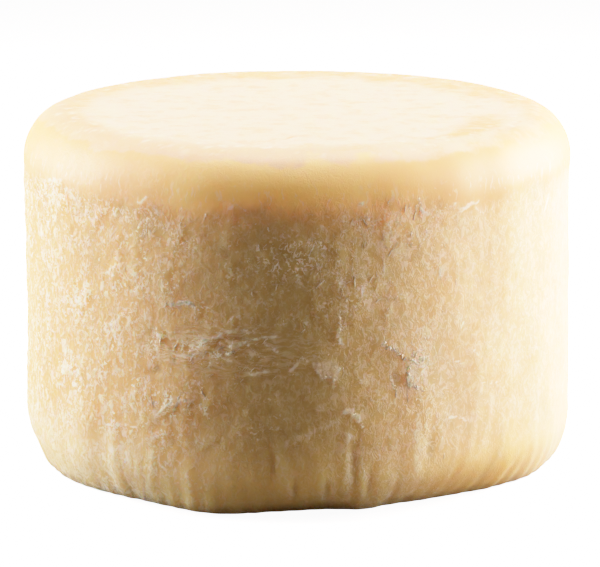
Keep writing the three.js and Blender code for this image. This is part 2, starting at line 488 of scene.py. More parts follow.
def wheel_masks(point):
    x, y, z = point.xyz()
    turn = x.calc("ARCTAN2", x, y * -1.0) / DEGREE
    aside = x.calc("ABSOLUTE", turn)
    out = x.calc("SQRT", x * x + y * y)
    masks = {name: bells(turn, z, places) for name, places in PLACES.items()}
    for name, (start, end) in SIDES.items():
        masks[name] = turn.smooth(*start) * (1.0 - turn.smooth(*end))
    for name, (size, detail, roughness, edge) in SPOTS.items():
        masks[name] = point.noise(size, detail, roughness).smooth(*edge)
    masks["chips"] = masks["chips"] * out.bell(*CHIPS_RING) * z.smooth(*TOP_EDGE)
    plates = masks["plates"]
    broken = (point.noise(PLATE_GRAIN, 3.0, 0.7) - 0.5) * PLATE_BREAK
    masks["plates"] = (plates + broken).smooth(*PLATE_EDGE) * plates.smooth(*PLATE_REACH)
    ragged = sum((point.noise(size, detail) - 0.5) * swing for size, detail, swing in SHOULDER_WAVES)
    rim_wave = (point.noise(RIM_GRAIN, 3.0, 0.65) - 0.5) * RIM_SWING
    return masks | {
        "height": z,
        "rough": 1.0 - (z - ragged).smooth(*SHOULDER_EDGE),
        "foot": 1.0 - z.smooth(*FOOT_EDGE),
        # painted shade of the front, which faces away from the soft boxes
        "damp": turn.bell(*FRONT_SHADE_TURN) * (1.0 - z.smooth(*FRONT_SHADE_TOP)),
        "aside": aside.smooth(*FLANKS_START) * (1.0 - aside.smooth(*FLANKS_END)),
        # partly dry curd and partly painted light: away from the shaded front the curd is whitened as the
        # side lights brighten it
        "dry": x.calc("ABSOLUTE", turn - SHADIEST_TURN).smooth(*DRY_AND_LIT_AWAY),
        # painted light: whitens the curd just right of the front, and also calms its fuzz there
        "mid": turn.bell(*PAINTED_LIGHT_TURN),
        "rim": (out + rim_wave + x * RIM_TILT[0] + y * RIM_TILT[1]).smooth(*RIM_EDGE),
        "amber": bells(turn, out, TOP_STAINS),
        "lip": out.smooth(*LIP_EDGE),
        "sag": point.noise(SAG_GRAIN, 3.0, 0.6),
    }


print("masks are made from", len(PLACES) + len(SIDES) + len(SPOTS), "lists and a few formulas")

# %% [markdown]
# ## Where the curd is torn
# A few tears are large enough to know the cheese by: the ragged crack at the right of the front,
# the flake that hangs beside it, the strands of the dragged stretch and the curls under the
# shoulder. Each is a short line given by turn and height, listed by its girth in millimetres. The
# pleats of the foot are lines too, and so are the creases of the top, given by turn and distance
# from the axis. The far side can't be seen, so its tears and pleats are drawn by lot from a fixed
# seed. A first tree lays the lines on the wheel and shakes them. The rind will rise along them,
# and curls will fray out of them.

# %% List the tears of the front and draw those behind
TEARS = {
    0.5: [
        [(17.1, 47.3), (18.1, 45.8), (19.7, 45.2), (20.4, 43.5), (22.4, 42.0), (24.1, 41.1), (25.2, 42.0)],
        [(23.0, 41.6), (22.4, 38.9), (22.2, 36.2), (23.6, 34.7), (25.8, 33.7)],
        [(31.9, 81.4), (33.2, 81.6), (34.4, 80.0), (36.3, 81.1), (38.6, 81.4)],
        [(63.4, 78.9), (62.2, 76.5), (61.6, 74.5)],
        [(-27.4, 55.9), (-25.9, 56.0), (-24.3, 56.7), (-22.8, 57.3), (-21.5, 57.0), (-21.0, 56.3)],
        [(-65.9, 81.8), (-60.2, 83.4), (-55.9, 83.5)],
        [(-54.4, 81.9), (-52.2, 80.7), (-50.9, 77.8)],
    ],
    0.42: [
        [(27.2, 43.0), (25.9, 41.9), (24.6, 40.7)],
        [(18.6, 39.3), (19.0, 36.6), (19.9, 34.4)],
        [(8.4, 56.2), (8.3, 53.8), (8.3, 51.4), (8.0, 49.6), (8.4, 47.7)],
        [(3.1, 42.6), (4.0, 40.2), (4.9, 38.6), (6.0, 39.0), (6.9, 38.3), (7.8, 39.6), (8.3, 41.1)],
        [(7.0, 38.3), (7.3, 36.9), (7.2, 35.8)],
        [(9.0, 29.4), (10.2, 29.6), (11.0, 28.5), (12.0, 28.2), (12.6, 26.0), (12.8, 24.9)],
        [(-29.4, 26.4), (-28.2, 27.9), (-26.1, 29.9), (-25.0, 29.7), (-23.6, 31.0), (-21.4, 31.3)],
        [(-49.0, 57.8), (-48.6, 55.5), (-48.0, 52.2)],
        [(-41.5, 48.6), (-40.6, 47.4), (-40.4, 45.9)],
        [(-50.6, 38.2), (-50.5, 36.3), (-50.2, 34.7)],
        [(-57.0, 31.9), (-54.2, 32.9), (-52.0, 32.7)],
        [(24.3, 84.7), (25.2, 80.9), (27.2, 80.1)],
        [(-23.0, 42.8), (-19.9, 43.9), (-18.1, 44.3)],
        [(31.8, 25.2), (33.3, 25.0), (34.9, 24.3), (36.9, 23.2)],
    ],
    0.34: [
        [(7.9, 64.2), (8.6, 62.5), (9.1, 60.1), (9.4, 59.4)],
        [(17.1, 69.7), (17.3, 67.4), (16.9, 64.3)],
        [(12.6, 62.6), (12.8, 60.9), (12.7, 59.4), (13.2, 57.2)],
        [(17.1, 81.3), (17.6, 78.9), (18.4, 77.3)],
        [(11.9, 83.2), (12.7, 84.2), (13.7, 82.6), (13.7, 80.2), (14.5, 78.9)],
        [(-19.6, 47.4), (-16.5, 48.5), (-14.4, 50.0), (-11.4, 50.5), (-8.2, 50.4)],
        [(-13.8, 44.2), (-12.2, 46.2), (-10.2, 47.7), (-9.0, 45.9), (-7.4, 44.9)],
        [(-9.0, 48.5), (-7.0, 48.9), (-4.2, 49.5)],
        [(-6.4, 47.3), (-5.0, 46.3), (-3.9, 45.5)],
        [(-1.5, 40.3), (-0.3, 41.9), (1.1, 44.0), (2.0, 42.9)],
        [(-9.4, 39.5), (-7.8, 39.8), (-5.4, 40.4)],
        [(29.7, 65.8), (29.5, 64.5), (29.4, 63.2)],
        [(35.3, 49.9), (34.7, 48.3)],
        [(38.1, 42.3), (38.8, 40.7)],
        [(31.4, 41.4), (33.2, 40.2), (35.1, 39.1)],
        [(26.4, 76.1), (26.6, 73.7)],
        [(29.1, 22.2), (30.0, 20.3), (30.9, 18.5), (31.9, 19.0)],
        [(39.9, 33.3), (41.9, 32.6), (44.6, 32.3)],
        [(-31.9, 54.1), (-32.0, 52.4), (-32.2, 50.8)],
        [(-42.5, 21.1), (-39.8, 21.8), (-36.9, 22.3), (-34.0, 22.4)],
        [(-33.8, 83.7), (-32.8, 82.0), (-31.2, 84.3)],
        [(-30.9, 81.9), (-29.5, 81.1), (-28.6, 79.6)],
        [(-13.1, 82.6), (-12.3, 83.7), (-11.5, 83.5)],
        [(-10.9, 83.0), (-10.1, 82.3)],
    ],
}
BACK_TEARS = 60
BACK_TURNS = (75, 285)
BACK_HEIGHTS = (24, 80)
BACK_GIRTHS = (0.34, 0.42, 0.5)
BACK_STEPS = (2, 5)
HEADING = (90, 35)
HEADING_DRIFT = (0, 0.5)
TURN_STEP = 1.4
HEIGHT_STEP = 1.8

lot = random.Random(83)
for _ in range(BACK_TEARS):
    turn = lot.uniform(*BACK_TURNS)
    height = lot.uniform(*BACK_HEIGHTS)
    heading = lot.gauss(*HEADING) * DEGREE
    line = [(turn, height)]
    for _ in range(lot.randint(*BACK_STEPS)):
        heading += lot.gauss(*HEADING_DRIFT)
        turn += TURN_STEP * math.cos(heading)
        height -= HEIGHT_STEP * math.sin(heading)
        line.append((turn, height))
    TEARS.setdefault(lot.choice(BACK_GIRTHS), []).append(line)
print("tears:", sum(len(lines) for lines in TEARS.values()))

# %% List the folds of the foot and the creases of the top
FOLDS = {
    0.8: [
        [(39.4, 33.4), (39.1, 26.1), (38.2, 22.1), (37.6, 17.4), (36.9, 12.7), (35.2, 8.6), (34.2, 6.2)],
        [(24.0, 24.4), (24.3, 19.9), (24.2, 15.1), (24.5, 9.6), (25.1, 4.0)],
        [(-40.3, 19.0), (-39.8, 12.8), (-39.8, 7.7), (-39.4, 4.0)],
        [(-36.3, 15.9), (-36.9, 10.5), (-37.7, 6.9)],
        [(-30.5, 14.7), (-30.6, 10.5), (-32.8, 4.2)],
        [(10.0, 24.0), (9.9, 13.9), (10.4, 4.6)],
        [(52.0, 14.5), (51.8, 9.5), (50.2, 6.6), (48.7, 4.2)],
    ],
    0.6: [
        [(42.4, 27.8), (42.1, 21.9), (40.0, 15.5), (37.7, 11.5)],
        [(46.8, 18.6), (46.4, 13.9), (44.6, 9.8), (44.0, 5.8)],
        [(34.0, 22.6), (33.9, 16.7), (33.4, 13.4), (32.3, 7.8)],
        [(26.4, 24.4), (26.0, 19.6), (25.1, 13.1), (25.3, 8.2)],
        [(21.5, 10.6), (21.9, 3.9)],
        [(19.3, 10.9), (19.7, 4.3)],
        [(59.4, 28.0), (58.4, 19.1), (58.3, 10.7), (58.7, 6.3)],
        [(-34.1, 14.6), (-34.4, 9.7), (-34.0, 4.7)],
        [(-47.4, 10.1), (-47.5, 4.8)],
        [(-53.1, 8.6), (-51.4, 5.0)],
        [(-4.2, 19.8), (-2.9, 13.7), (-1.2, 5.6)],
        [(12.3, 18.0), (12.6, 11.1), (13.5, 5.0)],
        [(4.6, 11.0), (5.2, 4.9)],
        [(6.8, 11.3), (7.5, 4.6)],
        [(-4.2, 19.9), (-1.9, 21.4), (1.0, 23.1), (4.3, 24.9), (7.7, 27.3)],
    ],
}
CREASES = [
    [(-62, 66.5), (-50, 67.5), (-38, 67.6), (-28, 68.2), (-21.6, 68.3)],
    [(-9, 68.0), (-2, 67.6), (5, 67.2), (11, 66.2), (16.3, 64.4)],
    [(-21.6, 68.3), (-18.7, 68.4), (-16.2, 68.6)],
    [(16.3, 64.4), (19.3, 62.7), (22.3, 61.6), (25.0, 61.6), (27.5, 64.2)],
    [(47.0, 56.8), (46.9, 62.0), (51.2, 62.4), (55.2, 63.3), (57.8, 65.2)],
    [(55.3, 65.0), (62.1, 64.6), (69.3, 64.3)],
    [(-8.3, 53.5), (-6.5, 50.0), (-4.0, 51.3), (-1.2, 46.5)],
    [(-150, 58.0), (-144, 61.0), (-138, 60.0)],
    [(105, 62.0), (112, 59.0), (121, 61.5)],
]
CREASE_GIRTH = 0.6
CREASE_SINK = 0.3
BACK_FOLDS = 26
FOLD_TURNS = (62, 304)
FOLD_TOPS = (10, 24)
FOLD_SWEEPS = (-2.2, 2.2)
FOLD_STEPS = (0.0, 0.35, 0.7, 1.0)
FOLD_END = 5.0

for _ in range(BACK_FOLDS):
    turn = lot.uniform(*FOLD_TURNS)
    top = lot.uniform(*FOLD_TOPS)
    sweep = lot.uniform(*FOLD_SWEEPS)
    line = [(turn + sweep * step * step, top + (FOLD_END - top) * step) for step in FOLD_STEPS]
    FOLDS[lot.choice(list(FOLDS))].append(line)
print("folds:", sum(len(lines) for lines in FOLDS.values()), "creases:", len(CREASES))

# %% Lay the tears on the wheel
RAY_REACH = 0.2
SHAKE_GRAIN = 1.8
TEAR_LINES = {
    "Wheel": wheel,
    "Step": 0.35 * MM,
    "Shake": 0.6 * MM,
}


def line_mesh(name, lines_by_girth):
    """Lines of (turn, height, how far out) as edges, each point with the girth of its line."""
    corners = []
    edges = []
    girths = []
    for girth, lines in lines_by_girth.items():
        for line in lines:
            for number, (turn, height, out) in enumerate(line):
                if number:
                    edges.append((len(corners) - 1, len(corners)))
                across = out * math.sin(turn * DEGREE)
                corners.append((across * MM, -out * math.cos(turn * DEGREE) * MM, height * MM))
                girths.append(girth * MM)
    mesh = bpy.data.meshes.new(name)
    mesh.from_pydata(corners, edges, [])
    mesh.attributes.new("girth", "FLOAT", "POINT").data.foreach_set("value", girths)
    return mesh


def on_side(lines_by_girth):
    """Side lines of (turn, height) with the wheel's radius put to each point."""
    out = WHEEL_RADIUS / MM
    return {
        girth: [[(turn, height, out) for turn, height in line] for line in lines]
        for girth, lines in lines_by_girth.items()
    }


def object_mesh(start, piece):
    settings = {"transform_space": "ORIGINAL"}
    return start.node("GeometryNodeObjectInfo", settings, {"Object": piece}, "Geometry")


def cast_ray(source, direction, target, output):
    """Where a ray meets the target, or the normal there."""
    sockets = {"Target Geometry": target, "Source Position": source, "Ray Direction": direction}
    sockets["Ray Length"] = RAY_REACH
    return source.node("GeometryNodeRaycast", {}, sockets, output)


def cast_from_axis(place, target, output):
    """The same for a level ray from the wheel's axis through a place."""
    x, y, z = place.xyz()
    return cast_ray(x.join(0.0, 0.0, z), x.join(x, y, 0.0), target, output)


def lay_tears(given):
    lines = given["Geometry"].node("GeometryNodeMeshToCurve", {}, {"Mesh": given["Geometry"]})
    bends = lines.node("GeometryNodeCurveSplineType", {"spline_type": "CATMULL_ROM"}, {"Curve": lines})
    resampled = {"Curve": bends, "Length": given["Step"]}
    fine = bends.node("GeometryNodeResampleCurve", {"mode": "LENGTH"}, resampled)
    place = fine.node("GeometryNodeInputPosition")
    shake = (place * (1 / MM)).noise(SHAKE_GRAIN, 2.0, 0.6, output=1) - 0.5
    shaken = place + shake * (given["Shake"] * 2.0)
    hit = cast_from_axis(shaken, object_mesh(fine, given["Wheel"]), "Hit Position")
    laid = fine.node("GeometryNodeSetPosition", {}, {"Geometry": fine, "Position": hit})
    thread = laid.node("GeometryNodeCurveToMesh", {}, {"Curve": laid})
    thread.node("NodeGroupOutput", {}, {"Geometry": thread})


tears_in = geometry_tree("tears laid on the wheel", TEAR_LINES)
lay_tears(tears_in)
tear_threads = run_tree("tear threads", tears_in, line_mesh("tears", on_side(TEARS)), TEAR_LINES)
FOLD_LINES = {**TEAR_LINES, "Step": 1.0 * MM, "Shake": 0.25 * MM}
fold_threads = run_tree("fold threads", tears_in, line_mesh("folds", on_side(FOLDS)), FOLD_LINES)
crease_height = WHEEL_HEIGHT / MM - CREASE_SINK
crease_lines = [[(turn, crease_height, out) for turn, out in line] for line in CREASES]
crease_threads = bpy.data.objects.new("creases", line_mesh("creases", {CREASE_GIRTH: crease_lines}))
scene.collection.objects.link(crease_threads)

# %% [markdown]
# ## The rind: even squares wrapped round the wheel
# Subdividing the solid would keep its long thin facets. Here a box of even squares is wrapped
# round it instead. Each point of the box becomes a ray: on the side it runs outwards from
# the axis, over the foot and shoulder it swings down or up, and on the top it runs straight up.
# Where the ray meets the wheel, the point stays. The box's floor is cut out first and closed with
# one flat face, since nothing shows there. The sizes of the relief belong to the same tree.

# %% Name the sizes of the rind
RIND = {
    "Squares a Quarter": 140,
    "Rows": 136,
    "Foot Rows Share": 22 / 136,
    "Shoulder Rows Share": 24 / 136,
    "Core Radius": 60 * MM,
    "Core Low": 12 * MM,
    "Core High": 82 * MM,
    "Blur Steps": 60,
    "Web Height": 0.42 * MM,
    "Plate Height": 0.2 * MM,
    "Strand Height": 0.22 * MM,
    "Torn Depth": 0.15 * MM,
    "Hollow Depth": 0.4 * MM,
    "Fold Height": 0.12 * MM,
    "Crease Depth": 0.3 * MM,
    "Bloom Height": 0.45 * MM,
    "Lip Height": 0.26 * MM,
    "Tear Threads": tear_threads,
    "Fold Threads": fold_threads,
    "Crease Threads": crease_threads,
    "Rind": bpy.data.materials.new("cheese rind"),
}
rind_in = geometry_tree("rind of even squares", RIND)
print("rind tree with", len(RIND), "inputs")

# %% Wrap the box round the wheel
QUARTER_TURN = math.pi / 2
UNDERSIDE = -0.999
RIM_NEIGHBOURS = 1.5


def wrap_box(given):
    solid = given["Geometry"]
    across = given["Squares a Quarter"] + 1
    counts = {"Vertices X": across, "Vertices Y": across, "Vertices Z": given["Rows"] + 1}
    cube = solid.node("GeometryNodeMeshCube", {}, {"Size": (2, 2, 2), **counts})
    x, y, z = solid.node("GeometryNodeInputPosition").xyz()
    floor_faces = {"Geometry": cube, "Selection": z.calc("LESS_THAN", z, UNDERSIDE)}
    sides = cube.node("GeometryNodeDeleteGeometry", {"domain": "FACE"}, floor_faces)
    ring = x.calc("MAXIMUM", x.calc("ABSOLUTE", x), y.calc("ABSOLUTE", y))
    even_x = x.calc("TANGENT", x / ring * (QUARTER_TURN / 2))
    even_y = y.calc("TANGENT", y / ring * (QUARTER_TURN / 2))
    turn = x.calc("ARCTAN2", even_y, even_x)
    out = x.join(x.calc("COSINE", turn), x.calc("SINE", turn), 0.0)
    row = z.span(-1.0, 1.0)
    foot = row.span(0.0, given["Foot Rows Share"])
    shoulder = row.span(1.0 - given["Shoulder Rows Share"], 1.0)
    side = row.span(given["Foot Rows Share"], 1.0 - given["Shoulder Rows Share"])
    swing = (foot + shoulder - 1.0) * QUARTER_TURN
    level = given["Core Low"] + (given["Core High"] - given["Core Low"]) * side
    upright = x.join(0.0, 0.0, 1.0)
    start = out * (ring * given["Core Radius"]) + upright * level
    aim = out * swing.calc("COSINE", swing) + upright * swing.calc("SINE", swing)
    hit = cast_ray(start, aim, solid, "Hit Position")
    return sides.node("GeometryNodeSetPosition", {}, {"Geometry": sides, "Position": hit})


def close_underside(skin):
    faces = skin.node("GeometryNodeInputMeshEdgeNeighbors")
    edge = {"Mesh": skin, "Selection": faces.calc("LESS_THAN", faces, RIM_NEIGHBOURS)}
    rim = skin.node("GeometryNodeMeshToCurve", {}, edge)
    disc = skin.node("GeometryNodeFillCurve", {"mode": "NGONS"}, {"Curve": rim})
    turned = disc.node("GeometryNodeFlipFaces", {}, {"Mesh": disc})
    both = skin.node("GeometryNodeJoinGeometry", {}, {"Geometry": skin})
    skin.tree.links.new(turned.socket, both.socket.node.inputs[0])
    return both.node("GeometryNodeMergeByDistance", {}, {"Geometry": both, "Distance": MERGE_REACH})


wrapped = close_underside(wrap_box(rind_in))
print("box wrapped round the wheel")

# %% [markdown]
# ## Taking the facets away
# The wrapped squares still show the facets of the solid. A blur of the points takes them away. It has
# more weight on the front, where the light grazes and each facet would throw a shadow, and less at
# the foot, whose ribs have to stay. A blur also draws bends inwards. A second blur shows by how
# much, and at the foot and the shoulder that much is given back, so the outline keeps its place.

# %% Blur the facets and give the bends back
FRONT_BLUR = (7.0, 16.0)
FOOT_BEND = (22.0, 34.0)
SHOULDER_BEND = (76.0, 84.0)
LEAST_BLUR = 0.2
FOOT_FADES = ((8.0, 26.0), (2.0, 9.0))
FOOT_LEAST = 0.3


def blur(value, steps, weight):
    sockets = {"Value": value, "Iterations": steps, "Weight": weight}
    return value.node("GeometryNodeBlurAttribute", {"data_type": "FLOAT_VECTOR"}, sockets)


def calm_facets(given, wrapped):
    place = wrapped.node("GeometryNodeInputPosition")
    x, y, z = (place * (1 / MM)).xyz()
    turn = x.calc("ARCTAN2", x, y * -1.0) / DEGREE
    above_foot = z.smooth(*FOOT_BEND)
    below_shoulder = 1.0 - z.smooth(*SHOULDER_BEND)
    front = turn.bell(*FRONT_BLUR) * above_foot * below_shoulder
    weight = front * (1.0 - LEAST_BLUR) + LEAST_BLUR
    for fade in FOOT_FADES:
        weight = weight * (z.smooth(*fade) * (1.0 - FOOT_LEAST) + FOOT_LEAST)
    calm = blur(place, given["Blur Steps"], weight)
    drawn_in = calm - blur(calm, given["Blur Steps"], weight)
    bends = 2.0 - above_foot - below_shoulder
    sockets = {"Geometry": wrapped, "Position": calm + drawn_in * bends}
    return wrapped.node("GeometryNodeSetPosition", {}, sockets)


skin = calm_facets(rind_in, wrapped)
print("facets blurred in", RIND["Blur Steps"], "steps")

# %% [markdown]
# ## The relief of the rind
# The squares are under a millimetre wide, so the mesh itself carries the matted curd, the dragged
# strands, the lifted plates, the pleats and the torn lips, and the finish adds only what is finer.
# The masks are kept on the mesh as attributes. The finish and the scatter then read them there and
# don't have to work them out again.

# %% Measure the way to a line and keep masks
FINISH_MASKS = (
    "rough", "foot", "strands", "damp", "dry", "calm", "mid", "far", "patches", "plates", "hollows",
    "clumps", "drifts", "stain", "rim", "amber", "lip", "sag", "chips",
)
SCATTER_MASKS = ("rough", "foot", "strands", "dry", "patches", "clumps", "fringe", "aside")
LINE_MASKS = ("torn", "folded", "creased")


def kept_value(start, name):
    settings = {"data_type": "FLOAT"}
    return start.node("GeometryNodeInputNamedAttribute", settings, {"Name": name}, "Attribute")


def near_line(skin, threads, reach):
    """1 on a line, falling off within so many of its girths."""
    lines = object_mesh(skin, threads)
    here = {"Geometry": lines, "Sample Position": skin.node("GeometryNodeInputPosition")}
    nearest = skin.node("GeometryNodeSampleNearest", {"domain": "POINT"}, here)
    there = {"Geometry": lines, "Value": kept_value(skin, "girth"), "Index": nearest}
    girth = skin.node("GeometryNodeSampleIndex", {"data_type": "FLOAT"}, there)
    away = skin.node("GeometryNodeProximity", {"target_element": "EDGES"}, here, "Distance")
    return (away / girth).bell(0.0, reach)


def keep(geometry, values):
    for name, value in values.items():
        geometry = geometry.node(
            "GeometryNodeStoreNamedAttribute",
            {"data_type": "FLOAT", "domain": "POINT"},
            {"Geometry": geometry, "Name": name, "Value": value},
        )
    return geometry


print("kept masks:", len(set(FINISH_MASKS + SCATTER_MASKS + LINE_MASKS)))

# %% Raise the relief
BLOOM_GRAIN = 6.0
CRUMB_GRAIN = 1.3
COARSE_GRAIN = (2.6, 2.6, 3.8)
DRAGGED_GRAIN = (9.0, 9.0, 2.2)
MATTED_SWIRL = (5.0, 2.0)
DRAGGED_SWIRL = (6.0, 1.8)
MATTED_EDGE = (0.35, 0.7)
CRUST_EDGE = (90.0, 96.0)
STANDING_EDGE = (0.2, 2.0)
TORN_REACH = 1.8
FOLD_REACH = 1.4
CREASE_REACH = 1.0


def raise_relief(given, skin):
    place = skin.node("GeometryNodeInputPosition")
    point = place * (1 / MM)
    mask = wheel_masks(point)
    near = near_line(skin, given["Tear Threads"], TORN_REACH)
    mask["torn"] = (point.noise(CRUMB_GRAIN, 2.0, 0.6) * 1.4 + 0.1) * near
    mask["folded"] = near_line(skin, given["Fold Threads"], FOLD_REACH)
    mask["creased"] = near_line(skin, given["Crease Threads"], CREASE_REACH)
    busy = mask["clumps"] * 0.8 + mask["patches"] * 0.8 + 0.4
    upper = mask["rough"] * (1.0 - mask["foot"] * 0.8)
    matted = point.swirl(*MATTED_SWIRL).noise(COARSE_GRAIN, 3.0, 0.65, 0.8).smooth(*MATTED_EDGE)
    dragged = point.swirl(*DRAGGED_SWIRL).ridges(DRAGGED_GRAIN, 2.0, 0.55) ** 2.0
    bloom = (point.noise(BLOOM_GRAIN, 3.0, 0.6) - 0.5) * mask["height"].smooth(*CRUST_EDGE)
    raised = matted * given["Web Height"] * busy * upper * (1.0 - mask["calm"] * 0.5)
    raised = raised + dragged * mask["strands"] * given["Strand Height"]
    raised = raised + mask["plates"] * given["Plate Height"]
    raised = raised + mask["torn"] * given["Lip Height"] * (1.0 - mask["dry"] * 0.7)
    raised = raised + mask["folded"] * given["Fold Height"] * (2.4 - mask["dry"] * 1.4)
    raised = raised + bloom * given["Bloom Height"]
    sunk = mask["hollows"] * given["Hollow Depth"] + mask["creased"] * given["Crease Depth"]
    sunk = sunk + mask["rough"] * given["Torn Depth"]
    names = dict.fromkeys(FINISH_MASKS + SCATTER_MASKS + LINE_MASKS)
    kept = keep(skin, {name: mask[name] for name in names})
    push = (raised - sunk) * mask["height"].smooth(*STANDING_EDGE)
    x, y, z = (place + skin.node("GeometryNodeInputNormal") * push).xyz()
    moved = x.join(x, y, z.calc("MAXIMUM", z, 0.0))
    return kept.node("GeometryNodeSetPosition", {}, {"Geometry": kept, "Position": moved})


end_tree(rind_in, raise_relief(rind_in, skin), rind_in["Rind"])
rind = run_tree("rind", rind_in, wheel_mesh, RIND)
for helper in (wheel, fold_threads, crease_threads):
    bpy.data.objects.remove(helper)

# %% [markdown]
# ## Frayed fibres
# Thin fibres of curd stand off the torn side, a millimetre or two long and a fraction of one wide.
# They could be hairs, but hair is no mesh. One small spindle is scattered over the rind instead,
# laid along the grain: mostly upright, leaning this way and that, and nearly level where the curd
# was dragged. A bent line with a three-sided section makes it, eighteen triangles in all, since it
# is repeated hundreds of times. The same tree lays the thicker curls of the chalky patches, where
# three spindles grow together.

# %% Make a spindle and a tuft
LINE_STEPS = 4
SIDES_ROUND = 3
LINE_START = (-0.5, 0.0, -0.4)
LINE_END = (0.5, -0.4, -0.2)
TIP_MERGE = 0.001
TUFT_ARMS = ((58.0, 0.75), (-40.0, 0.6))
TUFT_STEP = (0.2, 0.3, 0.1)


def spindle(start, given):
    middle = start.join(0.0, given["Bend"], given["Arch"])
    bend = {"Resolution": LINE_STEPS, "Start": LINE_START, "Middle": middle, "End": LINE_END}
    line = start.node("GeometryNodeCurveQuadraticBezier", {}, bend)
    along = start.node("GeometryNodeSplineParameter", outputs="Factor")
    ring = {"Resolution": SIDES_ROUND, "Radius": 0.5}
    section = line.node("GeometryNodeCurvePrimitiveCircle", {}, ring, "Curve")
    girth = along.calc("SINE", along * math.pi)
    tube = {"Curve": line, "Profile Curve": section, "Scale": girth}
    made = line.node("GeometryNodeCurveToMesh", {}, tube)
    return made.node("GeometryNodeMergeByDistance", {}, {"Geometry": made, "Distance": TIP_MERGE})


def tuft(start, given):
    """Three spindles grown together, so that a curl looks torn and not like a grain."""
    one = spindle(start, given)
    both = one.node("GeometryNodeJoinGeometry", {}, {"Geometry": one})
    for turn, size in TUFT_ARMS:
        placed = {"Geometry": one, "Translation": TUFT_STEP}
        placed["Rotation"] = (0.0, 0.0, turn * DEGREE)
        placed["Scale"] = (size, size, 1.0)
        arm = one.node("GeometryNodeTransform", {}, placed)
        one.tree.links.new(arm.socket, both.socket.node.inputs[0])
    return both


print("a tuft has", 1 + len(TUFT_ARMS), "spindles")

# %% Lay spindles along the grain
LEAN_GRAIN = 6.0
LEAN_SWING = 75.0
LEAN_SCATTER = 30.0
STRAND_LEAN = 72.0
ROLL = 0.5
GATHER_GRAIN = 2.2
GATHER_EDGE = (0.5, 0.66)
FLOOR_EDGE = (3.0, 6.0)


def chance(start, low, high, seed):
    sockets = {"Min": low, "Max": high, "Seed": seed}
    return start.node("FunctionNodeRandomValue", {"data_type": "FLOAT"}, sockets)


def stand_spindles(given, points, normal, lean, shape, swell=1.0):
    upright = points.join(0.0, 0.0, 1.0)
    level = normal.calc("CROSS_PRODUCT", upright, normal)
    grain = level * lean.calc("SINE", lean) + upright * lean.calc("COSINE", lean)
    turned = points.node(
        "FunctionNodeAxesToRotation",
        {"primary_axis": "Z", "secondary_axis": "X"},
        {"Primary Axis": normal, "Secondary Axis": grain},
    )
    roll = points.join(chance(points, -ROLL, ROLL, given["Seed"] + 4), 0.0, 0.0)
    rolled = points.node(
        "FunctionNodeRotateRotation", {"rotation_space": "LOCAL"}, {"Rotation": turned, "Rotate By": roll}
    )
    girth = chance(points, given["Thinnest"], given["Thickest"], given["Seed"] + 2)
    length = chance(points, given["Shortest"], given["Longest"], given["Seed"] + 3)
    laid = {"Points": points, "Instance": shape(points, given), "Rotation": rolled}
    laid["Scale"] = points.join(length, girth, girth) * swell
    return points.node("GeometryNodeInstanceOnPoints", {}, laid)


def lay_spindles(given, shape):
    rind_skin = given["Geometry"]
    point = rind_skin.node("GeometryNodeInputPosition") * (1 / MM)
    mask = {name: kept_value(point, name) for name in SCATTER_MASKS}
    gathered = point.noise(GATHER_GRAIN, 2.0, 0.6).smooth(*GATHER_EDGE)
    everywhere = mask["clumps"] * mask["dry"] + mask["strands"] * 0.3 + mask["fringe"]
    thick = everywhere * given["Everywhere"] + mask["patches"] * given["On Patches"]
    share = thick * gathered * mask["rough"] * (1.0 - mask["foot"] * 0.8) * (1.0 - mask["aside"])
    share = share * point.xyz()[2].smooth(*FLOOR_EDGE)
    scatter = {"Mesh": rind_skin, "Density": share / (MM * MM), "Seed": given["Seed"]}
    points, normal = rind_skin.node(
        "GeometryNodeDistributePointsOnFaces", {}, scatter, ("Points", "Normal")
    )
    sway = point.noise(LEAN_GRAIN, 1.0) * (2 * LEAN_SWING) - LEAN_SWING
    lean = sway + chance(point, -LEAN_SCATTER, LEAN_SCATTER, given["Seed"] + 1)
    lean = lean + mask["strands"] * STRAND_LEAN
    return stand_spindles(given, points, normal, lean * DEGREE, shape)


print("spindles lean up to", LEAN_SWING, "degrees")

# %% Scatter the fibres and the curls
DRY_CURD = bpy.data.materials.new("dry curd")
FIBRES = {
    "Everywhere": 0.7,
    "On Patches": 0.6,
    "Shortest": 0.4 * MM,
    "Longest": 1.5 * MM,
    "Thinnest": 0.09 * MM,
    "Thickest": 0.18 * MM,
    "Bend": 3.0,
    "Arch": 0.3,
    "Seed": 5,
    "Finish": DRY_CURD,
}
CURLS = {
    "Everywhere": 0.03,
    "On Patches": 0.36,
    "Shortest": 0.6 * MM,
    "Longest": 1.8 * MM,
    "Thinnest": 0.16 * MM,
    "Thickest": 0.32 * MM,
    "Bend": 3.2,
    "Arch": 0.6,
    "Seed": 29,
    "Finish": DRY_CURD,
}
fibres_in = geometry_tree("spindles along the grain", FIBRES)
end_tree(fibres_in, lay_spindles(fibres_in, spindle), fibres_in["Finish"])
curd_fibres = run_tree("curd_fibres", fibres_in, rind.data, FIBRES)
curls_in = geometry_tree("tufts along the grain", CURLS)
end_tree(curls_in, lay_spindles(curls_in, tuft), curls_in["Finish"])
chalk_curls = run_tree("chalk_curls", curls_in, rind.data, CURLS)

# %% [markdown]
# ## Torn lips
# The lips of the tears fray too. The same spindles stand along the tear lines, pointing every way,
# close enough together to read as one ragged edge, and larger on the wider tears. On the flanks the
# light comes from straight ahead and would show each one, so they stay on the front and the back.

# %% Fray the lips
LIPS = {
    "Rind Piece": rind,
    "Shortest": 0.3 * MM,
    "Longest": 1.0 * MM,
    "Thinnest": 0.1 * MM,
    "Thickest": 0.25 * MM,
    "Bend": 2.2,
    "Arch": 0.3,
    "Seed": 47,
    "Finish": DRY_CURD,
}
LIPS_TURN = 0.6
LIPS_GRAIN = 0.5
LIPS_SCATTER = 1.3 * MM
COMMON_GIRTH = 0.4 * MM


